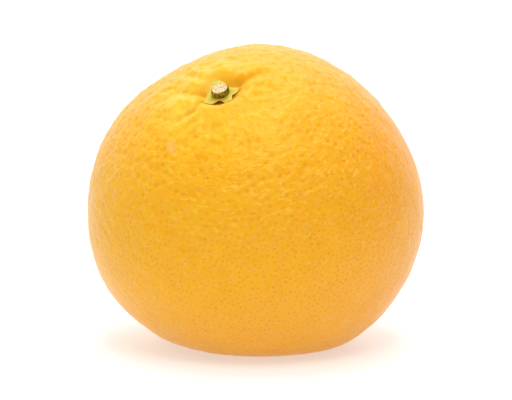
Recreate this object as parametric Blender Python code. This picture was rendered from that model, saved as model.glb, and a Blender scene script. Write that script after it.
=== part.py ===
"""An orange at rest on its flat spot: the fruit, the calyx in its stem basin and the cut stem stub.

Metres, +Z up. The origin is on the resting surface, under the middle of the fruit. The stem end
leans towards -Y, the front, and a little towards -X, the left.

Run it with: blender --background --python part.py
"""

import math

import bmesh
import bpy
import numpy as np
from mathutils import Matrix, Vector

MM = 0.001

# The whole fruit
FRUIT_RADIUS = 40.0 * MM  # across the stem axis
POLE_FLATTENING = 0.065  # how much shorter the half axis through the stem is, as a share
LEAN_FORWARD = math.radians(33.2)
LEAN_LEFT = math.radians(12.8)
CENTRE_HEIGHT = 34.2 * MM  # of the fruit's centre above the surface it rests on
REST_BLEND = 3.0 * MM  # how far the flat spot takes to run into the round side

# Broad swells and hollows of the outline, in mm: one at each hour of a clock face in front of the
# fruit, from twelve o'clock on. The face leans back by OUTLINE_TILT.
OUTLINE_SWELLS = (0.4, -0.5, -0.9, 0.9, 1.2, 1.3, -0.4, -0.6, 1.3, 0.1, 0.6, -1.1)
OUTLINE_TILT = math.radians(10)
SWELL_SPREAD = math.radians(26)

# The stem basin with its flat floor and the collar round it, in mm along the skin. The front wall
# is closer and higher than the back one.
BASIN_DEPTH = 2.3
BASIN_REACH_FRONT = 5.1
BASIN_REACH_BACK = 5.9
COLLAR_HEIGHT = 0.4
COLLAR_AT = 9.0
COLLAR_SPREAD = 3.2
FRONT_COLLAR_HEIGHT = 1.1
FRONT_COLLAR_AT = 6.5
FRONT_COLLAR_SPREAD = 2.2
FRONT_COLLAR_START = 3.0  # inside this distance it fades to nothing on the stem axis

# Creases that run out from the calyx over the shoulder: half-width and depth in mm, then the path
# as distance from the stem axis in mm and angle round it in degrees. A negative depth is a ridge.
CREASES = (
    (0.8, 1.4, ((5.0, 204), (8.5, 220), (13.5, 208))),
    (1.5, 1.0, ((4.8, 165), (8.0, 172), (15.0, 153))),
    (2.2, -0.4, ((6.5, 187), (12.5, 179), (18.0, 174))),
    (1.6, -0.6, ((6.5, 145), (11.0, 141), (19.0, 136))),
    (1.6, 0.6, ((8.5, 126), (14.0, 129), (21.0, 127))),
    (0.9, -0.3, ((10.0, 117), (15.6, 122), (19.0, 126))),
    (2.0, -0.4, ((9.0, 88), (13.0, 89), (20.0, 90))),
    (1.5, -0.6, ((6.2, 45), (9.5, 36), (17.5, 50))),
    (1.1, 1.1, ((5.3, 26), (8.0, 24), (15.0, 31))),
    (1.9, -0.5, ((6.5, -2), (10.0, 7), (15.0, 12))),
    (0.9, -0.4, ((6.2, -28), (9.8, -36), (13.5, -15))),
    (0.7, 0.5, ((3.8, -94), (6.5, -88), (9.8, -85))),
)

# A pit in the shoulder: distance and angle round the stem, half-width and depth
SHOULDER_PIT = (10.2, -19, 1.1, 0.7)

# The scar at the blossom end, in mm
SCAR_DEPTH = 0.9
SCAR_SPREAD = 3.0

# Facets of the fruit
SEGMENTS = 72
RINGS = 52
POLE_CROWDING = 0.3  # ring spacing at the poles, as a share of even spacing

# The calyx: a star of four long lobes and one short one, as the distance of its rim from the stem
# axis in mm at angles round it in degrees. It stands on a thick middle, and its lobes lie level
# until the basin wall turns them up.
CALYX_OUTLINE = (
    (3, 4.9), (16, 4.1), (30, 3.2), (46, 2.7), (66, 3.4), (86, 4.5), (100, 5.3), (111, 5.5),
    (124, 4.2), (150, 3.1), (164, 3.1), (174, 3.4), (184, 3.3), (196, 3.8), (208, 4.4), (217, 4.8),
    (230, 4.2), (245, 3.2), (260, 2.5), (275, 2.8), (290, 4.0), (303, 4.7), (314, 4.0),
    (326, 3.3), (338, 3.0), (351, 3.7),
)
CALYX_GAP = 0.3  # between the calyx and the skin
CALYX_FOOT = 1.9  # half-width of its thick middle
FOOT_SLOPE = 0.8  # how far the middle takes to rise to the lobes
CALYX_LEVEL = 1.0  # underside of the lobes above the basin floor
CALYX_THICK = 0.4
CALYX_SEGMENTS = 60
CALYX_RINGS = 8
HEIGHT_STEPS = 12  # rounds that settle the skin's height under the calyx

# The stem stub, in mm: its profile as height and radius, and its place on the calyx
STEM_PROFILE = ((0.0, 1.9), (0.35, 2.1), (0.8, 2.15), (1.1, 2.1), (1.35, 1.95), (1.45, 1.8))
STEM_SEGMENTS = 32
STEM_GAP = 0.3
STEM_OFFSET = (0.15, 0.1)
STEM_LEAN_BACK = math.radians(3)
WELD = 0.001


def stem_frame():
    """Turns the stem axis from upright to its lean."""
    return Matrix.Rotation(LEAN_FORWARD, 3, "X") @ Matrix.Rotation(-LEAN_LEFT, 3, "Y")


def soft_step(value):
    """From 0 to 1 as value does, level at both ends."""
    value = np.clip(value, 0, 1)
    return value**2 * (3 - 2 * value)


def soft_floor(height, floor, blend):
    """The larger of height and floor, exactly floor well below it, with a rounded join."""
    join = np.maximum(blend - np.abs(height - floor), 0) / blend
    return np.maximum(height, floor) + join**2 * blend / 4


def outline_swell(directions):
    """Height of the broad swells of the outline, in mm. Directions are upright unit vectors."""
    total = np.zeros(len(directions))
    for hour, height in enumerate(OUTLINE_SWELLS):
        turn = math.radians(30 * hour)
        across, up = math.sin(turn), math.cos(turn)
        centre = (across, up * math.sin(OUTLINE_TILT), up * math.cos(OUTLINE_TILT))
        apart = np.arccos(np.clip(directions @ np.array(centre), -1, 1))
        total += height * np.exp(-((apart / SWELL_SPREAD) ** 2))
    return total


def crease(x, y, half_width, depth, path):
    """Height of one crease, in mm, over points in mm round the stem axis."""
    corners = [(r * math.cos(math.radians(a)), r * math.sin(math.radians(a))) for r, a in path]
    total = sum(math.dist(a, b) for a, b in zip(corners, corners[1:]))
    nearest = np.full(x.shape, np.inf)
    share = np.zeros(x.shape)
    done = 0
    for (ax, ay), (bx, by) in zip(corners, corners[1:]):
        length = math.hypot(bx - ax, by - ay)
        along = np.clip(((x - ax) * (bx - ax) + (y - ay) * (by - ay)) / length**2, 0, 1)
        away = np.hypot(x - ax - along * (bx - ax), y - ay - along * (by - ay))
        closer = away < nearest
        nearest = np.where(closer, away, nearest)
        share = np.where(closer, (done + along * length) / total, share)
        done += length
    width = half_width * (0.7 + 0.6 * share)
    return -depth * (1 - share**3) / (1 + (nearest / width) ** 2) ** 2


def stem_end(reach, angle):
    """Height of the basin, its collar, creases and pit, in mm."""
    front = (1 - np.sin(angle)) / 2
    wall = BASIN_REACH_BACK + (BASIN_REACH_FRONT - BASIN_REACH_BACK) * front
    height = -BASIN_DEPTH * np.exp(-((reach / wall) ** 4))
    height += COLLAR_HEIGHT * np.exp(-(((reach - COLLAR_AT) / COLLAR_SPREAD) ** 2))
    bulge = np.exp(-(((reach - FRONT_COLLAR_AT) / FRONT_COLLAR_SPREAD) ** 2))
    start = np.clip(reach / FRONT_COLLAR_START, 0, 1)
    height += FRONT_COLLAR_HEIGHT * bulge * front**2 * start
    x, y = reach * np.cos(angle), reach * np.sin(angle)
    for values in CREASES:
        height += crease(x, y, *values)
    distance, turn, half_width, depth = SHOULDER_PIT
    turn = math.radians(turn)
    away = np.hypot(x - distance * math.cos(turn), y - distance * math.sin(turn))
    return height - depth * np.exp(-((away / half_width) ** 2))


def skin(polar, angle):
    """Points of the skin about the fruit's centre, for angles from and round the stem axis."""
    own = np.stack([np.sin(polar) * np.cos(angle), np.sin(polar) * np.sin(angle), np.cos(polar)], 1)
    upright = own @ np.array(stem_frame()).T
    radius = FRUIT_RADIUS * (1 - POLE_FLATTENING * np.cos(polar) ** 2)
    to_stem = polar * FRUIT_RADIUS / MM
    to_scar = (math.pi - polar) * FRUIT_RADIUS / MM
    detail = outline_swell(upright) + stem_end(to_stem, angle)
    detail -= SCAR_DEPTH * np.exp(-((to_scar / SCAR_SPREAD) ** 2))
    points = upright * (radius + detail * MM)[:, None]
    points[:, 2] = soft_floor(points[:, 2], -CENTRE_HEIGHT, REST_BLEND)
    return points


def basin_height(x, y):
    """Height of the skin over the basin floor, in mm, at points in mm off the stem axis."""
    floor = np.linalg.norm(skin(np.zeros(1), np.zeros(1))) / MM
    height = np.zeros(x.shape)
    for _ in range(HEIGHT_STEPS):
        polar = np.arctan2(np.hypot(x, y), floor + height)
        size = np.linalg.norm(skin(polar, np.arctan2(y, x)), axis=1) / MM
        height = np.sqrt(size**2 - x**2 - y**2) - floor
    return height


def make_material(name, colour, roughness):
    made = bpy.data.materials.new(name)
    made.use_nodes = True
    shader = made.node_tree.nodes["Principled BSDF"]
    shader.inputs["Base Color"].default_value = (*colour, 1.0)
    shader.inputs["Roughness"].default_value = roughness
    made.diffuse_color = (*colour, 1.0)
    return made


def finish_object(name, shape, material, sharp_angle=None):
    """Makes an object of a bmesh, shaded smooth but for edges sharper than sharp_angle."""
    mesh = bpy.data.meshes.new(name)
    shape.to_mesh(mesh)
    shape.free()
    mesh.materials.append(material)
    mesh.shade_smooth()
    if sharp_angle is not None:
        mesh.set_sharp_from_angle(angle=sharp_angle)
    made = bpy.data.objects.new(name, mesh)
    bpy.context.scene.collection.objects.link(made)
    return made


def make_empty(name, location):
    made = bpy.data.objects.new(name, None)
    made.location = location
    bpy.context.scene.collection.objects.link(made)
    return made


def build_fruit():
    """A globe with its poles on the stem axis, its rings crowded at the poles, drawn onto the skin."""
    shape = bmesh.new()
    bmesh.ops.create_uvsphere(shape, u_segments=SEGMENTS, v_segments=RINGS, radius=1.0)
    globe = np.array([vert.co[:] for vert in shape.verts])
    share = np.arccos(np.clip(globe[:, 2], -1, 1)) / math.pi
    polar = math.pi * (POLE_CROWDING * share + (1 - POLE_CROWDING) * soft_step(share))
    angle = np.arctan2(globe[:, 1], globe[:, 0])
    for vert, point in zip(shape.verts, skin(polar, angle)):
        vert.co = point
    bmesh.ops.triangulate(shape, faces=shape.faces)
    return finish_object("fruit", shape, make_material("rind", (0.93, 0.42, 0.03), 0.42))


def calyx_spots():
    """Points of the calyx seen along the stem axis, in mm: its middle, then ring after ring."""
    turns, radii = zip(*CALYX_OUTLINE)
    turn = np.arange(CALYX_SEGMENTS) * 360 / CALYX_SEGMENTS
    rim = np.interp(turn, turns, radii, period=360)
    share = np.arange(1, CALYX_RINGS + 1)[:, None] / CALYX_RINGS
    x = (share * rim * np.cos(np.radians(turn))).ravel()
    y = (share * rim * np.sin(np.radians(turn))).ravel()
    return np.append(0, x), np.append(0, y)


def build_calyx():
    """The star as two skins over the same rings of points, joined round the rim."""
    x, y = calyx_spots()
    rise = soft_step((np.hypot(x, y) - CALYX_FOOT) / FOOT_SLOPE + 0.5)
    level = CALYX_GAP + (CALYX_LEVEL - CALYX_GAP) * rise
    lower = np.maximum(level, basin_height(x, y) + CALYX_GAP)
    upper = np.maximum(lower, CALYX_LEVEL) + CALYX_THICK

    shape = bmesh.new()
    rims = []
    for heights in (upper, lower):
        verts = [shape.verts.new(Vector(point) * MM) for point in zip(x, y, heights)]
        starts = range(1, len(verts), CALYX_SEGMENTS)
        rings = [verts[start:start + CALYX_SEGMENTS] for start in starts]
        rims.append(rings[-1])
        for one, other in zip(range(-1, CALYX_SEGMENTS), range(CALYX_SEGMENTS)):
            shape.faces.new((verts[0], rings[0][one], rings[0][other]))
            for inner, outer in zip(rings, rings[1:]):
                shape.faces.new((inner[one], outer[one], outer[other], inner[other]))
    top, bottom = rims
    for one, other in zip(range(-1, CALYX_SEGMENTS), range(CALYX_SEGMENTS)):
        shape.faces.new((top[one], bottom[one], bottom[other], top[other]))
    bmesh.ops.recalc_face_normals(shape, faces=shape.faces)
    material = make_material("calyx_green", (0.52, 0.50, 0.10), 0.6)
    return finish_object("calyx", shape, material, math.radians(50))


def build_stem_stub():
    """The stub, turned from its profile, with a flat foot and a flat cut top."""
    shape = bmesh.new()
    profile = [(0.0, 0.0), *STEM_PROFILE, (STEM_PROFILE[-1][0], 0.0)]
    verts = [shape.verts.new((radius * MM, 0, height * MM)) for height, radius in profile]
    edges = [shape.edges.new(pair) for pair in zip(verts, verts[1:])]
    bmesh.ops.spin(
        shape, geom=verts + edges, axis=(0, 0, 1), cent=(0, 0, 0),
        angle=math.tau, steps=STEM_SEGMENTS,
    )
    bmesh.ops.remove_doubles(shape, verts=shape.verts, dist=WELD * MM)
    bmesh.ops.recalc_face_normals(shape, faces=shape.faces)
    material = make_material("stem_wood", (0.30, 0.22, 0.06), 0.75)
    return finish_object("stem_stub", shape, material, math.radians(40))


def main():
    for old in list(bpy.data.objects):
        bpy.data.objects.remove(old)

    fruit = build_fruit()
    outline = np.array([vert.co[:2] for vert in fruit.data.vertices])
    middle = (outline.min(0) + outline.max(0)) / 2
    centre = make_empty("fruit_centre", (-middle[0], -middle[1], CENTRE_HEIGHT))
    fruit.parent = centre

    basin_floor = skin(np.zeros(1), np.zeros(1))[0]
    axis = make_empty("stem_axis", basin_floor)
    axis.rotation_euler = stem_frame().to_euler()
    axis.parent = centre

    calyx = build_calyx()
    calyx.parent = axis

    stub = build_stem_stub()
    aside, behind = STEM_OFFSET
    stub.location = Vector((aside, behind, CALYX_LEVEL + CALYX_THICK + STEM_GAP)) * MM
    stub.rotation_euler = (-STEM_LEAN_BACK, 0, 0)
    stub.parent = axis


main()
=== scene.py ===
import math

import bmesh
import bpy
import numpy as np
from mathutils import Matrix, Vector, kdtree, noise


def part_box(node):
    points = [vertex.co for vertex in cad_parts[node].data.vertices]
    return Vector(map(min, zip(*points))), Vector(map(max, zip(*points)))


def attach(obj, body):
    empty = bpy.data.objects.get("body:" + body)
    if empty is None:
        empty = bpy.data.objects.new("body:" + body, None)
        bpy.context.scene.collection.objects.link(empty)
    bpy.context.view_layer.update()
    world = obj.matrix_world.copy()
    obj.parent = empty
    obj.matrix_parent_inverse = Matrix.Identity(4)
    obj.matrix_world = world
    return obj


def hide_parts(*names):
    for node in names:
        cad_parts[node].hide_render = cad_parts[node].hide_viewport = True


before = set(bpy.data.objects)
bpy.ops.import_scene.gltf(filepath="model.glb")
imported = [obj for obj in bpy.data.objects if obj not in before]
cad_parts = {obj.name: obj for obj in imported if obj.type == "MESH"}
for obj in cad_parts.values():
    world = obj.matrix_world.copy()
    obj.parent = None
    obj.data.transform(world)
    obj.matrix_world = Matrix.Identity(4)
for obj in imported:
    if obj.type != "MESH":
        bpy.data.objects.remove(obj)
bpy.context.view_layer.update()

# The looks of an orange at rest: its peel with stem basin, creases and oil glands, the calyx and
# the cut stem stub, on a pale floor in soft light. Lengths are in millimetres until a mesh is made.
# The fruit repeats the frame's own shape and adds the fine relief of the peel, and its place comes
# from the frame. Three folds by the stem are sharper than the frame's, one ridge is added and the
# front crease is fainter. The calyx and the stub sit a little lower, since the frame's gaps between
# the pieces are narrowed or closed.

MM = 0.001

# The whole fruit, of the same size and lean as the frame's
FRUIT_RADIUS = 40.0
POLE_FLATTENING = 0.065
LEAN_FORWARD = math.radians(33.2)
LEAN_LEFT = math.radians(12.8)
CENTRE_HEIGHT = 34.2
REST_BLEND = 3.0

# Swells of the outline at the hours of a clock face in front of the fruit
OUTLINE_SWELLS = (0.4, -0.5, -0.9, 0.9, 1.2, 1.3, -0.4, -0.6, 1.3, 0.1, 0.6, -1.1)
OUTLINE_TILT = math.radians(10)
SWELL_SPREAD = math.radians(26)

# The stem basin and its collar
BASIN_DEPTH = 2.3
BASIN_REACH_FRONT = 5.1
BASIN_REACH_BACK = 5.9
COLLAR_HEIGHT = 0.4
COLLAR_AT = 9.0
COLLAR_SPREAD = 3.2
FRONT_COLLAR_HEIGHT = 1.1
FRONT_COLLAR_AT = 6.5
FRONT_COLLAR_SPREAD = 2.2
FRONT_COLLAR_START = 3.0

# Creases: half-width and depth, then the path as distance and angle round the stem in degrees
CREASES = (
    (0.6, 1.6, ((5.0, 204), (8.5, 220), (13.5, 208))),
    (1.0, -0.45, ((6.3, 230), (9.6, 235), (14.5, 219))),
    (1.5, 1.25, ((4.8, 165), (8.0, 172), (15.0, 153))),
    (2.0, -0.55, ((6.5, 187), (12.5, 179), (18.0, 174))),
    (1.6, -0.6, ((6.5, 145), (11.0, 141), (19.0, 136))),
    (1.6, 0.6, ((8.5, 126), (14.0, 129), (21.0, 127))),
    (0.9, -0.3, ((10.0, 117), (15.6, 122), (19.0, 126))),
    (2.0, -0.4, ((9.0, 88), (13.0, 89), (20.0, 90))),
    (1.5, -0.6, ((6.2, 45), (9.5, 36), (17.5, 50))),
    (1.1, 1.1, ((5.3, 26), (8.0, 24), (15.0, 31))),
    (1.9, -0.5, ((6.5, -2), (10.0, 7), (15.0, 12))),
    (0.9, -0.4, ((6.2, -28), (9.8, -36), (13.5, -15))),
    (1.0, 0.25, ((3.8, -94), (6.5, -88), (9.8, -85))),
)

# A pit on the shoulder: distance and angle round the stem, half-width and depth
SHOULDER_PIT = (10.2, -19, 1.1, 0.7)

# The blossom scar, at the end away from the stem
SCAR_DEPTH = 0.9
SCAR_SPREAD = 3.0

# Where round the stem the peel is palest, where it is smooth, and where it is folded on both sides
LEMON_TOWARD = math.radians(182)
CALM_TOWARD = math.radians(-32)
FOLDS_TOWARD = math.radians(25)

# The peel's mesh: cells along each side of the cube it is drawn from, half of the share of its
# square that each side fills on the flat map, and how cells crowd round the stem
PEEL_CELLS = 127
MAP_SHARE = 0.49
WELD_DIGITS = 6
CROWDING = 0.38
CROWDING_REACH = 0.33

# Oil glands: their spacing over the shoulder and below it, where it changes, the share of it that
# is kept clear round each, and how faint the faintest is
SHOULDER_SPACING = 2.15
BODY_SPACING = 1.2
SHOULDER_END = 28.0
BODY_START = 46.0
GLAND_CLEARANCE = 0.88
GLAND_SEED = 11
GLAND_TRIES = 160000
GLAND_LEAST_STRENGTH = 0.4
GLAND_NAMES = ("gland_1", "gland_2", "gland_3")
CELLS_AROUND = [(i, j, k) for i in (-1, 0, 1) for j in (-1, 0, 1) for k in (-1, 0, 1)]

# Marks on the peel: distance from the stem, angle round it in degrees, radius and strength
SCUFFS = (
    (19.5, -133, 1.1, 0.9), (18.6, -136, 0.8, 0.7), (17.6, -138, 0.4, 0.6), (20.4, -128, 0.4, 0.6),
    (73.7, -60, 0.6, 0.8), (10.1, -40, 0.5, 0.6), (66.0, 95, 1.6, 0.5), (84.0, 150, 1.2, 0.5),
)
SPECKS = (
    (65.5, -108, 0.4, 0.6), (47.0, 35, 0.5, 0.5), (70.0, 160, 0.6, 0.6), (88.0, 60, 0.5, 0.5),
)

# Marks of the glands: depth of the pits, and reach of pits and dots as shares of the spacing
PIT_DEPTH = 0.17
PIT_REACH = 0.5
DOT_REACH = 0.4

# Noises of the fine relief: size of a feature, shift into the noise, and height, with the height
# that pebbles lose and the share that rings lose away from the stem
PEBBLES = (2.2, 0.0, 0.11)
PEBBLE_LOSS = 0.05
ROLLS = (6.0, 3.3, 0.12)
CRUMPLES = (2.8, 9.1, 0.42)
FINE_CRUMPLES = (1.3, 2.9, 0.27)
RING_WRINKLES = (1.0, 5.1, 0.23)
RING_WRINKLE_LENGTH = 3.2
RING_WRINKLE_SPACING = 1.9
RING_LOSS = 0.7
SPOKE_WRINKLES = (1.0, 7.7, 0.34)
SPOKES_ROUND = 8.0
SPOKE_LENGTH = 4.0

# Crumples and spokes are strongest in a band round the stem, and weaker on its calm side
FOLDED_AT = 13.0
FOLDED_SPREAD = 7.0
FOLDED_STRENGTH = 1.1
CALM_SHARE = 0.8
CALM_NARROWNESS = 4
SPOKES_LEAST = 0.1

# The bumps of the finish: length and spacing of the thin ridges, sizes and heights of the rest, and
# the shares of a pit's depth near the stem and away from it
RIDGE_LENGTH = 1.5
RIDGE_SPACING = 0.8
RIDGE_HEIGHT = 0.08
BUMP_SIZE = 1.1
BUMP_HEIGHTS = (0.26, 0.28)
PIT_BUMPS = (-0.11, -0.04)
PIT_SHARES = (0.4, 1.0)
GRAIN_SIZE = 0.4
GRAIN_HEIGHT = 0.07
CALYX_GRAIN_SIZE = 0.25
CALYX_GRAIN_HEIGHT = 0.06
FIBRE_SCALE = 2.6
FIBRE_HEIGHT = 0.15
FLECK_SIZE = 0.32
FLECK_HEIGHT = 0.1

# Sizes of what varies the colours, and how far and how finely gland marks wander from round
PATCH_SIZE = 5.0
MOTTLE_SIZE = 1.2
CALYX_MOTTLE_SIZE = 0.8
WANDER_SIZE = 0.8
WANDER_FAR = 0.3

# How much warmer the peel is away from the stem and towards the right, and how much painted shade
# darkens the far right
WARMTH_AWAY = 0.42
# Towards the right the warmth is partly the peel's own tone and partly painted shade
RIGHT_WARMTH_AND_SHADE = 0.25
FAR_RIGHT_PAINTED_SHADE = 0.3
FAR_RIGHT_SHADE_SPAN = (0.4, 0.9)

# How lemon the rim of the basin is all round, as a share of its palest side
LEMON_ALL_ROUND = 0.35

# Distances from the stem over which features of the peel come, change or go
CLEAR_OF_BASIN = (6.0, 11.0)
BUMPS_COME = (6.0, 9.0)
PITS_COME = (12.0, 20.0)
PITS_DEEPEN = (24.0, 36.0)
PITS_FLATTEN = (42.0, 58.0)
GLANDS_SHOW = (9.0, 16.0)
DOTS_DARKEN = (26.0, 60.0)
FOLDS_COME = (5.5, 8.5)
RINGS_COME = (13.0, 23.0)
RINGS_FADE = (42.0, 58.0)
RIDGES_COME = (14.0, 25.0)
RIDGES_THIN = (34.0, 50.0)
RIDGES_GO = (50.0, 66.0)
BUMPS_GROW = (16.0, 28.0)
BUMPS_EASE = (60.0, 80.0)
PEBBLES_SHRINK = (55.0, 75.0)
WARMTH_COMES = (5.0, 37.0)
RIGHT_SIDE_COMES = (10.0, 40.0)
LEMON_GOES = (9.0, 21.0)
MOTTLE_COMES = (16.0, 44.0)
HOLLOW_SHADE_COMES = (10.0, 22.0)
LOW_BAND_COMES = (50.0, 64.0)
LOW_BAND_GOES = (66.0, 80.0)
BASIN_WALL_SHADE_SPAN = (4.5, 11.0)
BASIN_FLOOR_AND_SHADE_SPAN = (2.0, 4.6)

# Spans of a noise, of a height or of the way out along the calyx, over which what each one draws
# comes or goes, and how much scarcer the ridges get away from the stem
MOTTLE_SPAN = (0.46, 0.70)
RIDGE_SPAN = (0.54, 0.66)
RIDGE_SCARCITY = -0.07
HOLLOW_SHADE_SPAN = (-0.25, 0.0)
FLECK_SPAN = (0.38, 0.60)
FIBRE_SPAN = (0.36, 0.64)
TIP_SPAN = (0.45, 0.95)
UNDER_SPAN = (0.6, 0.9)

# How strongly each colour covers those under it; pairs are near the stem and away from it
MOTTLE_COVER = 0.5
MOTTLE_SHARES = (0.2, 1.0)
RIDGE_HIGHLIGHT_COVER = 0.4
HOLLOW_SHADE_COVER = 0.5
HOLLOW_SHADE_SHARES = (0.4, 1.0)
DOT_COVERS = (0.48, 0.95)
LOW_GROUND_AND_SHEEN_COVER = 0.45
BASIN_WALL_SHADE_COVER = 0.5
PATCH_STRENGTH = 0.5

# How strongly scuffs show between mottles and on them
SCUFF_COVERS = (0.3, 0.9)
SCUFF_MOTTLE = 0.06

# Colours of the peel, in linear red, green and blue
YELLOW_GROUND = (0.90, 0.47, 0.010)
ORANGE_GROUND = (0.81, 0.33, 0.008)
LEMON_GROUND = (0.93, 0.58, 0.045)
# A paler band low on the fruit: partly the peel's own paler tone, partly painted sheen of light from
# the floor
LOW_GROUND_AND_SHEEN = (0.87, 0.42, 0.045)
MOTTLE_COLOUR = (0.87, 0.41, 0.07)
# The pale colour along the crests of the thin ridges is a painted highlight
RIDGE_HIGHLIGHT_COLOUR = (0.95, 0.58, 0.06)
# The deeper orange in the hollows of the relief is painted shade
HOLLOW_SHADE_COLOUR = (0.87, 0.355, 0.003)
YELLOW_DOTS = (0.84, 0.32, 0.004)
ORANGE_DOTS = (0.77, 0.23, 0.003)
SCUFF_COLOUR = (0.93, 0.50, 0.20)
SPECK_COLOUR = (0.58, 0.19, 0.02)
# The deeper orange on the basin wall round the stem is painted shade
BASIN_WALL_SHADE_COLOUR = (0.88, 0.40, 0.015)
# The brown of the basin floor is partly the dried disc's own colour and partly painted shade under the
# calyx
BASIN_FLOOR_AND_SHADE_COLOUR = (0.66, 0.38, 0.05)
PEEL_SHEEN = (1.0, 0.94, 0.55)

# Colours of the calyx and the stem, in pairs from dark to pale, and of the white surroundings
CALYX_MIDDLE = ((0.40, 0.33, 0.018), (0.56, 0.47, 0.04))
CALYX_TIP = ((0.62, 0.46, 0.03), (0.78, 0.62, 0.09))
CALYX_UNDER = (0.22, 0.12, 0.015)
CUT_FACE = ((0.50, 0.36, 0.15), (0.88, 0.72, 0.42))
BARK = ((0.085, 0.055, 0.002), (0.36, 0.25, 0.02))
DRY_SHEEN = (1.0, 0.9, 0.5)
WHITE = (1.0, 1.0, 1.0)

# How the pieces and the floor take light: refraction, roughness, and light passing inside the peel
REFRACTION = 1.35
PEEL_ROUGHNESS = 0.22
PEEL_ROUGHNESS_SPREAD = 0.16
CALYX_ROUGHNESS = 0.6
STEM_ROUGHNESS = 0.85
FLOOR_ROUGHNESS = 0.9
INNER_LIGHT = 0.2
INNER_LIGHT_REACH = 2.0
INNER_LIGHT_SPREAD = (1.0, 0.35, 0.1)

# The calyx outline: distance of its rim from the stem axis at angles round it in degrees
CALYX_OUTLINE = (
    (3, 4.9), (16, 4.1), (30, 3.2), (46, 2.7), (66, 3.4), (86, 4.5), (100, 5.3), (111, 5.5),
    (124, 4.2), (150, 3.1), (164, 3.1), (174, 3.4), (184, 3.3), (196, 3.8), (208, 4.4), (217, 4.8),
    (230, 4.2), (245, 3.0), (258, 2.15), (275, 2.3), (290, 3.8), (303, 4.7), (314, 4.0),
    (326, 3.3), (338, 3.0), (351, 3.7),
)

# The calyx: gap over the skin before its relief, foot under the stem, level, thickness and thinning
# of the lobes, its mesh, and the steps that find the skin's height below it
CALYX_GAP = 0.1
CALYX_FOOT = 1.9
FOOT_SLOPE = 0.8
CALYX_LEVEL = 1.0
CALYX_THICK = 0.4
CALYX_THINNING = 0.7
CALYX_SEGMENTS = 240
CALYX_RINGS = 36
HEIGHT_STEPS = 12

# The stem stub: profile as height and radius, mesh, stretch of its fibres, place, how far it sinks
# into the calyx, and lean
STEM_PROFILE = ((0.0, 1.9), (0.35, 2.1), (0.8, 2.15), (1.1, 2.1), (1.35, 1.95), (1.45, 1.8))
STEM_SEGMENTS = 144
STEM_SIDE_RINGS = 25
STEM_TOP_RINGS = 14
STEM_FIBRE_STRETCH = 4.0
STEM_OFFSET = (0.15, 0.1)
STEM_SINK = 0.1
STEM_LEAN_BACK = math.radians(3)

# The camera: in front of the fruit and a little above it, far off with a long lens
CAMERA_ELEVATION = math.radians(10)
CAMERA_DISTANCE = 700.0
CAMERA_LENS = 203.0
CAMERA_SENSOR = 36.0
AIM_RIGHT = 0.3
AIM_UP = 0.9

# The light: strength of the white surroundings all round, and what is added behind and above;
# power, size and place of the soft boxes, in metres; and the floor
TENT_ROUND = 0.34
TENT_BEHIND = 0.95
TENT_BEHIND_FROM = -0.1
TENT_ABOVE = 0.52
TENT_ABOVE_FROM = 0.2
SOFT_BOXES = ((3.4, 0.45, (0.0, 0.08, 0.95)), (2.5, 0.4, (0.08, -0.5, 0.8)))
FLOOR_GLOW = 0.46
FLOOR_SHADE = 0.62
FLOOR_RADIUS = 6.0
FLOOR_SEGMENTS = 96


def stem_frame():
    """Turns the stem axis from upright to its lean."""
    turn = Matrix.Rotation(LEAN_FORWARD, 3, "X") @ Matrix.Rotation(-LEAN_LEFT, 3, "Y")
    return np.array(turn)


def ramp(value, start, end):
    """From 0 to 1 as value goes from start to end, level at both ends."""
    share = np.clip((value - start) / (end - start), 0, 1)
    return share**2 * (3 - 2 * share)


def soft_floor(height, floor, blend):
    """The larger of height and floor, exactly floor well below it, with a rounded join."""
    join = np.maximum(blend - np.abs(height - floor), 0) / blend
    return np.maximum(height, floor) + join**2 * blend / 4


def outline_swell(directions):
    """Height of the outline's swells at upright unit vectors."""
    total = np.zeros(len(directions))
    for hour, height in enumerate(OUTLINE_SWELLS):
        turn = math.radians(30 * hour)
        across, up = math.sin(turn), math.cos(turn)
        centre = (across, up * math.sin(OUTLINE_TILT), up * math.cos(OUTLINE_TILT))
        apart = np.arccos(np.clip(directions @ np.array(centre), -1, 1))
        total += height * np.exp(-((apart / SWELL_SPREAD) ** 2))
    return total


def crease(x, y, half_width, depth, path):
    """Height of a crease, which widens and runs out along its path, at points round the stem."""
    corners = [(r * math.cos(math.radians(a)), r * math.sin(math.radians(a))) for r, a in path]
    total = sum(math.dist(a, b) for a, b in zip(corners, corners[1:]))
    nearest = np.full(x.shape, np.inf)
    share = np.zeros(x.shape)
    done = 0
    for (ax, ay), (bx, by) in zip(corners, corners[1:]):
        length = math.hypot(bx - ax, by - ay)
        along = np.clip(((x - ax) * (bx - ax) + (y - ay) * (by - ay)) / length**2, 0, 1)
        away = np.hypot(x - ax - along * (bx - ax), y - ay - along * (by - ay))
        closer = away < nearest
        nearest = np.where(closer, away, nearest)
        share = np.where(closer, (done + along * length) / total, share)
        done += length
    width = half_width * (0.7 + 0.6 * share)
    return -depth * (1 - share**3) / (1 + (nearest / width) ** 2) ** 2


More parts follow.
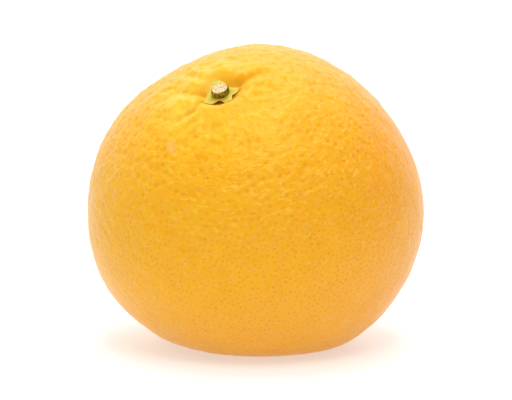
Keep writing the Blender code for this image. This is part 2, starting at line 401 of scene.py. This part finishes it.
def stem_end(reach, angle):
    """Height of the basin, its collar, the creases and the shoulder pit."""
    front = (1 - np.sin(angle)) / 2
    wall = BASIN_REACH_BACK + (BASIN_REACH_FRONT - BASIN_REACH_BACK) * front
    height = -BASIN_DEPTH * np.exp(-((reach / wall) ** 4))
    height += COLLAR_HEIGHT * np.exp(-(((reach - COLLAR_AT) / COLLAR_SPREAD) ** 2))
    bulge = np.exp(-(((reach - FRONT_COLLAR_AT) / FRONT_COLLAR_SPREAD) ** 2))
    start = np.clip(reach / FRONT_COLLAR_START, 0, 1)
    height += FRONT_COLLAR_HEIGHT * bulge * front**2 * start
    x, y = reach * np.cos(angle), reach * np.sin(angle)
    for values in CREASES:
        height += crease(x, y, *values)
    distance, turn, half_width, depth = SHOULDER_PIT
    turn = math.radians(turn)
    away = np.hypot(x - distance * math.cos(turn), y - distance * math.sin(turn))
    return height - depth * np.exp(-((away / half_width) ** 2))


def stem_angles(own):
    """Angle from and round the stem axis, of unit vectors in the stem's own frame."""
    return np.arccos(np.clip(own[:, 2], -1, 1)), np.arctan2(own[:, 1], own[:, 0])


def skin(own, relief=0):
    """Points of the skin about the fruit's centre, for directions in the stem's own frame."""
    polar, angle = stem_angles(own)
    upright = own @ stem_frame().T
    radius = FRUIT_RADIUS * (1 - POLE_FLATTENING * np.cos(polar) ** 2)
    radius += outline_swell(upright) + stem_end(polar * FRUIT_RADIUS, angle)
    radius -= SCAR_DEPTH * np.exp(-(((math.pi - polar) * FRUIT_RADIUS / SCAR_SPREAD) ** 2))
    points = upright * (radius + relief)[:, None]
    points[:, 2] = soft_floor(points[:, 2], -CENTRE_HEIGHT, REST_BLEND)
    return points


def cube_globe(cells):
    """Unit vectors, four-sided faces and corner places on a flat map, of a cube blown up to a globe."""
    step = np.linspace(-1, 1, cells + 1)
    across, up = np.meshgrid(step, step, indexing="xy")
    across, up = across.ravel(), up.ravel()
    bent = np.tan(np.stack([across, up]) * math.pi / 4)
    index = np.arange((cells + 1) ** 2).reshape(cells + 1, cells + 1)
    square = np.stack([index[:-1, :-1], index[:-1, 1:], index[1:, 1:], index[1:, :-1]], -1)
    square = square.reshape(-1, 4)
    axes = np.eye(3)
    points, faces, places = [], [], []
    for side in range(6):
        sign = 1 if side < 3 else -1
        out, right = axes[side % 3] * sign, axes[(side + 1) % 3] * sign
        top = np.cross(out, right)
        points.append(out + bent[0][:, None] * right + bent[1][:, None] * top)
        faces.append(square + side * len(index) ** 2)
        column, row = side % 3, side // 3
        place = np.stack([(column + 0.5 + across * MAP_SHARE) / 3, (row + 0.5 + up * MAP_SHARE) / 2], 1)
        places.append(place)
    points = np.concatenate(points)
    points /= np.linalg.norm(points, axis=1, keepdims=True)
    faces, places = np.concatenate(faces), np.concatenate(places)
    _, first, welded = np.unique(
        np.round(points, WELD_DIGITS), axis=0, return_index=True, return_inverse=True
    )
    return points[first], welded.ravel()[faces], places[faces.ravel()]


def crowd(own):
    """Draws directions in towards the stem axis, so that cells are smaller there."""
    polar, angle = stem_angles(own)
    polar = polar * (1 - CROWDING * np.exp(-((polar / CROWDING_REACH) ** 2)))
    return np.stack([np.sin(polar) * np.cos(angle), np.sin(polar) * np.sin(angle), np.cos(polar)], 1)


def gland_spacing(reach):
    """Distance between glands at a distance from the stem."""
    change = ramp(reach, SHOULDER_END, BODY_START)
    return SHOULDER_SPACING + (BODY_SPACING - SHOULDER_SPACING) * change


def crowded(cell, place, apart, taken):
    """Whether a place is closer than apart to one that is taken in the cells round its own."""
    (i, j, k), (x, y, z) = cell, place
    for di, dj, dk in CELLS_AROUND:
        for ox, oy, oz in taken.get((i + di, j + dj, k + dk), ()):
            if (x - ox) ** 2 + (y - oy) ** 2 + (z - oz) ** 2 < apart**2:
                return True
    return False


def scatter_glands():
    """Directions of the oil glands in the stem's own frame, none closer than its spacing."""
    rng = np.random.default_rng(GLAND_SEED)
    tries = rng.normal(size=(GLAND_TRIES, 3))
    tries /= np.linalg.norm(tries, axis=1, keepdims=True)
    places = tries * FRUIT_RADIUS
    spacing = gland_spacing(stem_angles(tries)[0] * FRUIT_RADIUS) * GLAND_CLEARANCE
    cells = np.floor(places / SHOULDER_SPACING).astype(int)
    tried = zip(cells.tolist(), places.tolist(), spacing.tolist())
    taken = {}
    kept = []
    for number, (cell, place, apart) in enumerate(tried):
        if not crowded(cell, place, apart, taken):
            taken.setdefault(tuple(cell), []).append(place)
            kept.append(number)
    return tries[kept]


def noise_at(points, size, shift, height):
    """Smooth noise from about -height to height, with features of the given size."""
    scaled = (points / size + shift).tolist()
    return np.array([noise.noise(place) for place in scaled]) * height


def tree_of(points):
    tree = kdtree.KDTree(len(points))
    for number, point in enumerate(points.tolist()):
        tree.insert(point, number)
    tree.balance()
    return tree


def ring_places(own, length, spacing):
    """Places for noise whose features run round the stem, with their length and spacing."""
    polar, angle = stem_angles(own)
    around = np.sin(polar) * FRUIT_RADIUS / length
    rings = polar * FRUIT_RADIUS / spacing
    return np.stack([np.cos(angle) * around, np.sin(angle) * around, rings], 1)


def pit_depths(globe, reach, tree, strength):
    """Depth of the gland pits at points on a globe, from 0 to 1, by the nearest three glands."""
    reach_of_pit = gland_spacing(reach) * PIT_REACH
    pits = np.zeros(len(globe))
    for number, place in enumerate(globe.tolist()):
        for _, index, apart in tree.find_n(place, len(GLAND_NAMES)):
            hollow = max(1 - (apart / reach_of_pit[number]) ** 2, 0)
            pits[number] = max(pits[number], strength[index] * hollow**1.5)
    return pits


def folds_near_stem(globe, reach, angle):
    """Crumples and spokes, weaker on the calm side of the stem."""
    near = np.exp(-(((reach - FOLDED_AT) / FOLDED_SPREAD) ** 2)) * ramp(reach, *FOLDS_COME)
    calm = np.clip(np.cos(angle - CALM_TOWARD), 0, 1) ** CALM_NARROWNESS
    near *= FOLDED_STRENGTH - CALM_SHARE * calm
    crumples = noise_at(globe, *CRUMPLES) + noise_at(globe, *FINE_CRUMPLES)
    round_stem = (np.cos(angle) * SPOKES_ROUND, np.sin(angle) * SPOKES_ROUND, reach / SPOKE_LENGTH)
    folded = SPOKES_LEAST + (1 - SPOKES_LEAST) * np.cos(angle - FOLDS_TOWARD) ** 2
    spokes = noise_at(np.stack(round_stem, 1), *SPOKE_WRINKLES) * folded
    return (crumples + spokes) * near


def peel_relief(own, tree, strength):
    """Height of the fine relief of the peel: gland pits, pebbles and wrinkles round the stem."""
    polar, angle = stem_angles(own)
    reach = polar * FRUIT_RADIUS
    globe = own * FRUIT_RADIUS
    pitted = (1 - ramp(reach, SHOULDER_END, BODY_START)) * ramp(reach, *PITS_COME)
    height = -PIT_DEPTH * pit_depths(globe, reach, tree, strength) * pitted
    size, shift, pebble_height = PEBBLES
    pebble_height = pebble_height - PEBBLE_LOSS * ramp(reach, *PEBBLES_SHRINK)
    even = noise_at(globe, size, shift, pebble_height) + noise_at(globe, *ROLLS)
    height += even * ramp(reach, *CLEAR_OF_BASIN)
    ringed = ramp(reach, *RINGS_COME) * (1 - RING_LOSS * ramp(reach, *RINGS_FADE))
    rings = ring_places(own, RING_WRINKLE_LENGTH, RING_WRINKLE_SPACING)
    height += noise_at(rings, *RING_WRINKLES) * ringed
    return height + folds_near_stem(globe, reach, angle)


def marked(own, marks):
    """How strongly each direction is marked, from 0 to 1, by round marks with soft rims."""
    total = np.zeros(len(own))
    for reach, turn, radius, strength in marks:
        polar, turn = reach / FRUIT_RADIUS, math.radians(turn)
        centre = (math.sin(polar) * math.cos(turn), math.sin(polar) * math.sin(turn), math.cos(polar))
        apart = np.arccos(np.clip(own @ np.array(centre), -1, 1)) * FRUIT_RADIUS
        total += strength * np.exp(-((apart / radius) ** 2))
    return np.clip(total, 0, 1)


def finish_mesh(name, points, faces, material, origin):
    """Makes an object of points in millimetres about an origin in metres, shaded smooth."""
    mesh = bpy.data.meshes.new(name)
    places = np.asarray(points) * MM + np.array(origin)
    mesh.from_pydata(places.tolist(), [], [list(face) for face in faces])
    mesh.materials.append(material)
    mesh.shade_smooth()
    mesh.validate()
    made = bpy.data.objects.new(name, mesh)
    bpy.context.scene.collection.objects.link(made)
    return made


def store(mesh, name, kind, domain, values):
    """Keeps one value or vector for each point or face, for the material to read."""
    layer = mesh.attributes.new(name, kind, domain)
    field = "vector" if kind == "FLOAT_VECTOR" else "value"
    layer.data.foreach_set(field, np.asarray(values, np.float32).ravel())


class Nodes:
    """A node tree, and short ways to add nodes to it."""

    def __init__(self, tree):
        self.tree = tree

    def link(self, socket, value):
        """Sets a socket to another node's output, a colour or a number."""
        if isinstance(value, bpy.types.NodeSocket):
            self.tree.links.new(value, socket)
        elif socket.type == "RGBA":
            socket.default_value = (*value, 1.0)
        else:
            socket.default_value = value

    def add(self, kind, inputs=(), **settings):
        node = self.tree.nodes.new(kind)
        for name, value in settings.items():
            setattr(node, name, value)
        for name, value in dict(inputs).items():
            self.link(node.inputs[name], value)
        return node

    def math(self, operation, *values, clamp=False):
        numbered = dict(enumerate(values))
        node = self.add("ShaderNodeMath", numbered, operation=operation, use_clamp=clamp)
        return node.outputs[0]

    def vector(self, operation, *values):
        node = self.add("ShaderNodeVectorMath", dict(enumerate(values)), operation=operation)
        return node.outputs["Value" if operation == "DISTANCE" else "Vector"]

    def fade(self, value, start, end, low=0.0, high=1.0):
        """From low to high as value goes from start to end, level at both ends."""
        sockets = {"Value": value, "From Min": start, "From Max": end}
        sockets.update({"To Min": low, "To Max": high})
        node = self.add("ShaderNodeMapRange", sockets, interpolation_type="SMOOTHSTEP")
        return node.outputs[0]

    def mix(self, share, one, other):
        """A colour from one to other as share goes from 0 to 1."""
        node = self.add("ShaderNodeMix", data_type="RGBA")
        for number, value in ((0, share), (6, one), (7, other)):
            self.link(node.inputs[number], value)
        return node.outputs[2]


class Finish(Nodes):
    """A material, and what its nodes read and set."""

    def __init__(self, name):
        self.material = bpy.data.materials.new(name)
        self.material.use_nodes = True
        super().__init__(self.material.node_tree)
        self.shader = self.tree.nodes["Principled BSDF"]

    def place(self):
        return self.add("ShaderNodeTexCoord").outputs["Object"]

    def stored(self, name, output="Fac"):
        return self.add("ShaderNodeAttribute", attribute_name=name).outputs[output]

    def noise(self, place, size, detail=2.0):
        sockets = {"Vector": place, "Scale": 1 / (size * MM), "Detail": detail}
        return self.add("ShaderNodeTexNoise", sockets).outputs["Fac"]

    def bump(self, height):
        """The surface raised by a height in millimetres."""
        sockets = {"Height": height, "Distance": MM, "Strength": 1.0}
        return self.add("ShaderNodeBump", sockets).outputs["Normal"]

    def use(self, **inputs):
        """Sets the shader's inputs, with _ for each space in their names."""
        for name, value in inputs.items():
            self.link(self.shader.inputs[name.replace("_", " ")], value)
        return self.material


def gland_marks(made, place, pitted):
    """Depth of the gland pits, and the strength of the dots over the glands, at each place."""
    wander = made.add("ShaderNodeTexNoise", {"Vector": place, "Scale": 1 / (WANDER_SIZE * MM)})
    shaken = made.vector("SUBTRACT", wander.outputs["Color"], (0.5, 0.5, 0.5))
    shaken = made.vector("MULTIPLY", shaken, (WANDER_FAR * MM,) * 3)
    shaken = made.vector("ADD", place, shaken)
    spacing = made.stored("spacing")
    pits, dots = 0.0, 0.0
    for name in GLAND_NAMES:
        apart = made.vector("DISTANCE", shaken, made.stored(name, "Vector"))
        apart = made.math("DIVIDE", apart, spacing)
        strength = made.stored(name + "_strength")
        hollow = made.fade(apart, 0.0, PIT_REACH, 1.0, 0.0)
        pits = made.math("MULTIPLY_ADD", hollow, strength, pits)
        dot = made.fade(apart, 0.0, DOT_REACH, 1.0, 0.0)
        dots = made.math("MULTIPLY_ADD", dot, strength, dots)
    return made.math("MULTIPLY", pits, pitted), made.math("MULTIPLY", dots, pitted)


def thin_ridges(made, reach):
    """Short thin ridges round the stem: thick over the shoulder, scarce towards the middle."""
    along = made.stored("ring_place", "Vector")
    wave = made.add("ShaderNodeTexNoise", {"Vector": along, "Scale": 1.0, "Detail": 1.0})
    wave = made.math("ADD", wave.outputs["Fac"], made.fade(reach, *RIDGES_THIN, 0.0, RIDGE_SCARCITY))
    ridges = made.fade(wave, *RIDGE_SPAN)
    ridges = made.math("MULTIPLY", ridges, made.fade(reach, *RIDGES_COME))
    return made.math("MULTIPLY", ridges, made.fade(reach, *RIDGES_GO, 1.0, 0.0))


def peel_ground(made, reach, warmth_and_shade, mottle):
    """The peel's colour without its glands, ridges and marks, with painted shade on the right and a
    partly painted sheen low down.
    """
    ground = made.mix(warmth_and_shade, YELLOW_GROUND, ORANGE_GROUND)
    ground = made.mix(made.stored("lemon"), ground, LEMON_GROUND)
    # The low band is partly the peel's own paler tone and partly painted sheen of light from the floor
    low = made.fade(reach, *LOW_BAND_GOES, LOW_GROUND_AND_SHEEN_COVER, 0.0)
    low = made.math("MULTIPLY", made.fade(reach, *LOW_BAND_COMES), low)
    ground = made.mix(low, ground, LOW_GROUND_AND_SHEEN)
    return made.mix(mottle, ground, MOTTLE_COLOUR)


def peel_colour(made, place, reach, dots, ridges):
    patches = made.noise(place, PATCH_SIZE, detail=3.0)
    patches = made.math("MULTIPLY_ADD", patches, PATCH_STRENGTH, -PATCH_STRENGTH / 2)
    warmth_and_shade = made.math("ADD", made.stored("warmth_and_shade"), patches, clamp=True)
    mottle = made.noise(place, MOTTLE_SIZE, detail=3.0)
    mottle = made.fade(mottle, *MOTTLE_SPAN, 0.0, MOTTLE_COVER)
    mottle = made.math("MULTIPLY", mottle, made.fade(reach, *MOTTLE_COMES, *MOTTLE_SHARES))
    shade = peel_ground(made, reach, warmth_and_shade, mottle)
    # Painted highlight: a pale colour along the crests of the thin ridges
    shade = made.mix(made.math("MULTIPLY", ridges, RIDGE_HIGHLIGHT_COVER), shade, RIDGE_HIGHLIGHT_COLOUR)
    # Painted shade: a deeper orange where the relief is lowest
    hollow_shade = made.fade(made.stored("relief"), *HOLLOW_SHADE_SPAN, HOLLOW_SHADE_COVER, 0.0)
    hollow_shade = made.math("MULTIPLY", hollow_shade, made.fade(reach, *HOLLOW_SHADE_COMES, *HOLLOW_SHADE_SHARES))
    shade = made.mix(hollow_shade, shade, HOLLOW_SHADE_COLOUR)
    dots = made.math("MULTIPLY", dots, made.fade(reach, *DOTS_DARKEN, *DOT_COVERS), clamp=True)
    shade = made.mix(dots, shade, made.mix(warmth_and_shade, YELLOW_DOTS, ORANGE_DOTS))
    scuff = made.fade(mottle, 0.0, SCUFF_MOTTLE, *SCUFF_COVERS)
    scuff = made.math("MULTIPLY", made.stored("scuff"), scuff)
    shade = made.mix(scuff, shade, SCUFF_COLOUR)
    shade = made.mix(made.stored("speck"), shade, SPECK_COLOUR)
    # Painted shade: a deeper orange on the basin wall round the stem
    wall = made.fade(reach, *BASIN_WALL_SHADE_SPAN, BASIN_WALL_SHADE_COVER, 0.0)
    shade = made.mix(wall, shade, BASIN_WALL_SHADE_COLOUR)
    # The basin floor's brown: partly the dried disc's own colour, partly painted shade under the calyx
    floor = made.fade(reach, *BASIN_FLOOR_AND_SHADE_SPAN, 1.0, 0.0)
    return made.mix(floor, shade, BASIN_FLOOR_AND_SHADE_COLOUR)


def peel_height(made, place, reach, pits, ridges):
    """Height of the fine bumps in millimetres."""
    low, high = BUMP_HEIGHTS
    bumps = made.fade(reach, *BUMPS_GROW, low, high)
    bumps = made.fade(reach, *BUMPS_EASE, bumps, low)
    bumps = made.math("MULTIPLY", made.noise(place, BUMP_SIZE), bumps)
    depth = made.fade(reach, *PITS_FLATTEN, *PIT_BUMPS)
    depth = made.math("MULTIPLY", depth, made.fade(reach, *PITS_DEEPEN, *PIT_SHARES))
    height = made.math("MULTIPLY_ADD", pits, depth, bumps)
    height = made.math("MULTIPLY_ADD", ridges, RIDGE_HEIGHT, height)
    height = made.math("MULTIPLY_ADD", made.noise(place, GRAIN_SIZE), GRAIN_HEIGHT, height)
    return made.math("MULTIPLY", height, made.fade(reach, *BUMPS_COME))


def peel_material():
    made = Finish("peel")
    place = made.place()
    reach = made.stored("reach")
    pits, dots = gland_marks(made, place, made.fade(reach, *GLANDS_SHOW))
    ridges = thin_ridges(made, reach)
    height = peel_height(made, place, reach, pits, ridges)
    spread = made.noise(place, GRAIN_SIZE)
    made.use(
        Subsurface_Weight=INNER_LIGHT,
        Subsurface_Scale=INNER_LIGHT_REACH * MM,
        Subsurface_Radius=INNER_LIGHT_SPREAD,
        Specular_Tint=PEEL_SHEEN,
        IOR=REFRACTION,
    )
    return made.use(
        Base_Color=peel_colour(made, place, reach, dots, ridges),
        Roughness=made.math("MULTIPLY_ADD", spread, PEEL_ROUGHNESS_SPREAD, PEEL_ROUGHNESS),
        Normal=made.bump(height),
    )


def calyx_material():
    made = Finish("calyx")
    place = made.place()
    mottle = made.noise(place, CALYX_MOTTLE_SIZE, detail=4.0)
    middle = made.mix(mottle, *CALYX_MIDDLE)
    tip = made.mix(mottle, *CALYX_TIP)
    shade = made.mix(made.fade(made.stored("outward"), *TIP_SPAN), middle, tip)
    shade = made.mix(made.stored("under"), shade, CALYX_UNDER)
    grain = made.noise(place, CALYX_GRAIN_SIZE, detail=3.0)
    height = made.math("MULTIPLY", grain, CALYX_GRAIN_HEIGHT)
    made.use(Specular_Tint=DRY_SHEEN, Roughness=CALYX_ROUGHNESS)
    return made.use(Base_Color=shade, Normal=made.bump(height))


def stem_material():
    made = Finish("stem")
    fleck = made.noise(made.place(), FLECK_SIZE, detail=4.0)
    face = made.mix(made.fade(fleck, *FLECK_SPAN), *CUT_FACE)
    along = made.stored("fibre_place", "Vector")
    fibres = {"Vector": along, "Scale": FIBRE_SCALE, "Detail": 3.0}
    fibre = made.add("ShaderNodeTexNoise", fibres).outputs["Fac"]
    bark = made.mix(made.fade(fibre, *FIBRE_SPAN), *BARK)
    shade = made.mix(made.stored("cut"), bark, face)
    height = made.math("MULTIPLY", fleck, FLECK_HEIGHT)
    height = made.math("MULTIPLY_ADD", fibre, FIBRE_HEIGHT, height)
    made.use(Specular_Tint=DRY_SHEEN, Roughness=STEM_ROUGHNESS, IOR=REFRACTION)
    return made.use(Base_Color=shade, Normal=made.bump(height))


def store_colour_guides(mesh, own, relief):
    """What the peel's finish reads at each point."""
    polar, angle = stem_angles(own)
    reach = polar * FRUIT_RADIUS
    right = np.clip((own @ stem_frame().T)[:, 0], -1, 1) * ramp(reach, *RIGHT_SIDE_COMES)
    # Warmer towards the right: partly the peel's own more orange tone, partly painted shade; at the far
    # right it is painted shade
    warmth_and_shade = ramp(reach, *WARMTH_COMES) * WARMTH_AWAY + right * RIGHT_WARMTH_AND_SHADE
    warmth_and_shade += ramp(right, *FAR_RIGHT_SHADE_SPAN) * FAR_RIGHT_PAINTED_SHADE
    lemon_side = LEMON_ALL_ROUND + (1 - LEMON_ALL_ROUND) * np.cos(angle - LEMON_TOWARD)
    lemon = (1 - ramp(reach, *LEMON_GOES)) * np.clip(lemon_side, 0, 1)
    rings = ring_places(own, RIDGE_LENGTH, RIDGE_SPACING)
    store(mesh, "warmth_and_shade", "FLOAT", "POINT", np.clip(warmth_and_shade, 0, 1))
    store(mesh, "reach", "FLOAT", "POINT", reach)
    store(mesh, "spacing", "FLOAT", "POINT", gland_spacing(reach) * MM)
    store(mesh, "relief", "FLOAT", "POINT", relief)
    store(mesh, "ring_place", "FLOAT_VECTOR", "POINT", rings)
    store(mesh, "lemon", "FLOAT", "POINT", lemon)
    store(mesh, "scuff", "FLOAT", "POINT", marked(own, SCUFFS))
    store(mesh, "speck", "FLOAT", "POINT", marked(own, SPECKS))


def store_nearest_glands(mesh, middles, tree, gland_points, strength):
    """The places and strengths of the glands nearest to each face."""
    nearest = np.array(
        [
            [index for _, index, _ in tree.find_n(place, len(GLAND_NAMES))]
            for place in middles.tolist()
        ]
    )
    for name, index in zip(GLAND_NAMES, nearest.T):
        store(mesh, name, "FLOAT_VECTOR", "FACE", gland_points[index])
        store(mesh, name + "_strength", "FLOAT", "FACE", strength[index])


def make_peel(origin_of):
    own, faces, places = cube_globe(PEEL_CELLS)
    own = crowd(own)
    glands = scatter_glands()
    strength = np.random.default_rng(GLAND_SEED + 1).random(len(glands))
    strength = GLAND_LEAST_STRENGTH + (1 - GLAND_LEAST_STRENGTH) * strength
    tree = tree_of(glands * FRUIT_RADIUS)
    relief = peel_relief(own, tree, strength)
    origin = origin_of(skin(own))
    peel = finish_mesh("peel", skin(own, relief), faces, peel_material(), origin)
    layer = peel.data.uv_layers.new(name="OFBake")
    layer.data.foreach_set("uv", places.astype(np.float32).ravel())
    store_colour_guides(peel.data, own, relief)
    middles = own[faces].mean(1) * FRUIT_RADIUS
    gland_points = skin(glands, peel_relief(glands, tree, strength)) * MM + np.array(origin)
    store_nearest_glands(peel.data, middles, tree, gland_points, strength)
    return peel, origin


def basin_floor():
    """Distance of the basin floor from the fruit's centre, along the stem axis."""
    return np.linalg.norm(skin(np.array([[0.0, 0.0, 1.0]])))


def basin_height(x, y):
    """Height of the skin over the basin floor at points off the stem axis."""
    floor = basin_floor()
    height = np.zeros(x.shape)
    for _ in range(HEIGHT_STEPS):
        own = np.stack([x, y, floor + height], 1)
        own /= np.linalg.norm(own, axis=1, keepdims=True)
        size = np.linalg.norm(skin(own), axis=1)
        height = np.sqrt(size**2 - x**2 - y**2) - floor
    return height


def ring_faces(first, second, count):
    """Four-sided faces between two rings of count points that start at the given numbers."""
    after = [*range(1, count), 0]
    return [(first + i, second + i, second + j, first + j) for i, j in zip(range(count), after)]


def calyx_faces(half):
    """Faces of the upper and lower sheets, whose points start at 0 and at half, and of the rim."""
    faces = []
    after = [*range(1, CALYX_SEGMENTS), 0]
    for base in (0, half):
        sheet = [(base, base + 1 + i, base + 1 + j) for i, j in enumerate(after)]
        for ring in range(CALYX_RINGS - 1):
            start = base + 1 + ring * CALYX_SEGMENTS
            sheet += ring_faces(start, start + CALYX_SEGMENTS, CALYX_SEGMENTS)
        faces += [face[::-1] for face in sheet] if base else sheet
    last = 1 + (CALYX_RINGS - 1) * CALYX_SEGMENTS
    return faces + ring_faces(last, half + last, CALYX_SEGMENTS)


def make_calyx(to_world):
    turns, radii = zip(*CALYX_OUTLINE)
    turn = np.arange(CALYX_SEGMENTS) * 360 / CALYX_SEGMENTS
    rim = np.interp(turn, turns, radii, period=360)
    share = np.arange(1, CALYX_RINGS + 1)[:, None] / CALYX_RINGS
    radians = np.radians(turn)
    x = np.append(0, (share * rim * np.cos(radians)).ravel())
    y = np.append(0, (share * rim * np.sin(radians)).ravel())
    outward = np.append(0, np.repeat(share.ravel(), CALYX_SEGMENTS))
    reach = np.hypot(x, y)
    rise = ramp(reach, CALYX_FOOT - FOOT_SLOPE / 2, CALYX_FOOT + FOOT_SLOPE / 2)
    level = CALYX_GAP + (CALYX_LEVEL - CALYX_GAP) * rise
    lower = np.maximum(level, basin_height(x, y) + CALYX_GAP)
    thick = CALYX_THICK * (1 - CALYX_THINNING * outward**2)
    upper = np.maximum(lower, CALYX_LEVEL) + thick
    points = np.concatenate([np.stack([x, y, upper], 1), np.stack([x, y, lower], 1)])
    half = len(x)
    faces = calyx_faces(half)
    calyx = finish_mesh("calyx_star", to_world(points), faces, calyx_material(), (0, 0, 0))
    under = np.append(np.zeros(half), 1 - ramp(outward, *UNDER_SPAN))
    store(calyx.data, "outward", "FLOAT", "POINT", np.tile(outward, 2))
    store(calyx.data, "under", "FLOAT", "POINT", under)
    return calyx


def stem_rings():
    """Heights and radii of the stub's rings: up its side, then in over the cut."""
    heights, radii = zip(*STEM_PROFILE)
    along = np.linspace(0, 1, STEM_SIDE_RINGS)
    place = np.linspace(0, 1, len(heights))
    inward = np.linspace(radii[-1], 0, STEM_TOP_RINGS + 2)[1:-1]
    height = np.append(np.interp(along, place, heights), np.full(STEM_TOP_RINGS, heights[-1]))
    return height, np.append(np.interp(along, place, radii), inward)


def stem_faces(rings, middle):
    """Faces of the stub: its rings, the cut's middle, and its foot."""
    faces = []
    for ring in range(rings - 1):
        start = ring * STEM_SEGMENTS
        side = ring_faces(start, start + STEM_SEGMENTS, STEM_SEGMENTS)
        faces += [face[::-1] for face in side]
    last = (rings - 1) * STEM_SEGMENTS
    after = [*range(1, STEM_SEGMENTS), 0]
    faces += [(last + i, last + j, middle) for i, j in enumerate(after)]
    return [*faces, tuple(range(STEM_SEGMENTS))[::-1]]


def make_stem(to_world):
    height, radius = stem_rings()
    turn = np.arange(STEM_SEGMENTS) * math.tau / STEM_SEGMENTS
    x = radius[:, None] * np.cos(turn)
    y = radius[:, None] * np.sin(turn)
    z = np.repeat(height[:, None], STEM_SEGMENTS, 1)
    points = np.stack([x.ravel(), y.ravel(), z.ravel()], 1)
    points = np.append(points, [[0.0, 0.0, height[-1]]], 0)
    on_cut = np.arange(len(height)) >= STEM_SIDE_RINGS - 1
    cut = np.append(np.repeat(on_cut.astype(float), STEM_SEGMENTS), 1.0)
    lean = np.array(Matrix.Rotation(-STEM_LEAN_BACK, 3, "X"))
    stand = np.array([*STEM_OFFSET, CALYX_LEVEL + CALYX_THICK - STEM_SINK])
    points = points @ lean.T + stand
    faces = stem_faces(len(height), len(points) - 1)
    stem = finish_mesh("stub", to_world(points), faces, stem_material(), (0, 0, 0))
    store(stem.data, "cut", "FLOAT", "POINT", cut)
    fibre_places = points / np.array([1.0, 1.0, STEM_FIBRE_STRETCH])
    store(stem.data, "fibre_place", "FLOAT_VECTOR", "POINT", fibre_places)
    return stem


def make_floor(height):
    shape = bmesh.new()
    bmesh.ops.create_circle(shape, cap_ends=True, segments=FLOOR_SEGMENTS, radius=FLOOR_RADIUS)
    mesh = bpy.data.meshes.new("floor")
    shape.to_mesh(mesh)
    shape.free()
    floor = bpy.data.objects.new("floor", mesh)
    floor.location = (0, 0, height)
    bpy.context.scene.collection.objects.link(floor)
    made = Finish("pale_floor")
    made.use(Emission_Color=WHITE, Emission_Strength=FLOOR_GLOW, Roughness=FLOOR_ROUGHNESS)
    mesh.materials.append(made.use(Base_Color=(FLOOR_SHADE,) * 3))


def make_light():
    """A white tent, brighter above and behind and darker where the camera stands, and soft boxes."""
    world = bpy.data.worlds.new("tent")
    bpy.context.scene.world = world
    world.use_nodes = True
    made = Nodes(world.node_tree)
    seen = made.add("ShaderNodeTexCoord").outputs["Generated"]
    toward = made.add("ShaderNodeSeparateXYZ", {0: seen})
    behind = made.fade(toward.outputs["Y"], TENT_BEHIND_FROM, 1.0, 0.0, TENT_BEHIND)
    above = made.fade(toward.outputs["Z"], TENT_ABOVE_FROM, 1.0, 0.0, TENT_ABOVE)
    strength = made.math("ADD", made.math("ADD", TENT_ROUND, behind), above)
    background = world.node_tree.nodes["Background"]
    made.link(background.inputs["Strength"], strength)
    made.link(background.inputs["Color"], WHITE)

    for power, size, place in SOFT_BOXES:
        soft = bpy.data.lights.new("soft_box", "AREA")
        soft.energy = power
        soft.size = size
        lamp = bpy.data.objects.new("soft_box", soft)
        lamp.location = place
        lamp.rotation_euler = (-lamp.location).to_track_quat("-Z", "Y").to_euler()
        bpy.context.scene.collection.objects.link(lamp)
    bpy.context.scene.view_settings.view_transform = "Standard"


def make_camera(centre):
    camera = bpy.data.cameras.new("camera")
    camera.lens = CAMERA_LENS
    camera.sensor_width = CAMERA_SENSOR
    holder = bpy.data.objects.new("camera", camera)
    up = Vector((0, math.sin(CAMERA_ELEVATION), math.cos(CAMERA_ELEVATION)))
    back = Vector((0, -math.cos(CAMERA_ELEVATION), math.sin(CAMERA_ELEVATION)))
    aim = Vector((AIM_RIGHT, 0, 0)) + up * AIM_UP
    holder.location = Vector(centre) + (aim + back * CAMERA_DISTANCE) * MM
    holder.rotation_euler = (math.radians(90) - CAMERA_ELEVATION, 0, 0)
    bpy.context.scene.collection.objects.link(holder)
    bpy.context.scene.camera = holder


def main():
    low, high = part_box("fruit")

    def origin_of(points):
        """The fruit's centre in metres, where these points fill the frame's box."""
        middle = (points.min(0) + points.max(0)) / 2 * MM
        box_middle = (low + high) / 2
        return (box_middle.x - middle[0], box_middle.y - middle[1], low.z + CENTRE_HEIGHT * MM)

    peel, centre = make_peel(origin_of)
    floor = basin_floor()

    def to_world(points):
        """From the stem's own frame over the basin floor to the shared frame, in millimetres."""
        lifted = points + np.array([0, 0, floor])
        return lifted @ stem_frame().T + np.array(centre) / MM

    calyx = make_calyx(to_world)
    stem = make_stem(to_world)
    pieces = ((peel, "fruit", "rind"), (calyx, "calyx", "calyx"), (stem, "stem_stub", "stem"))
    for piece, node, slot in pieces:
        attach(piece, "root")
        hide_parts(node)
    make_floor(low.z)
    make_light()
    make_camera(centre)


main()
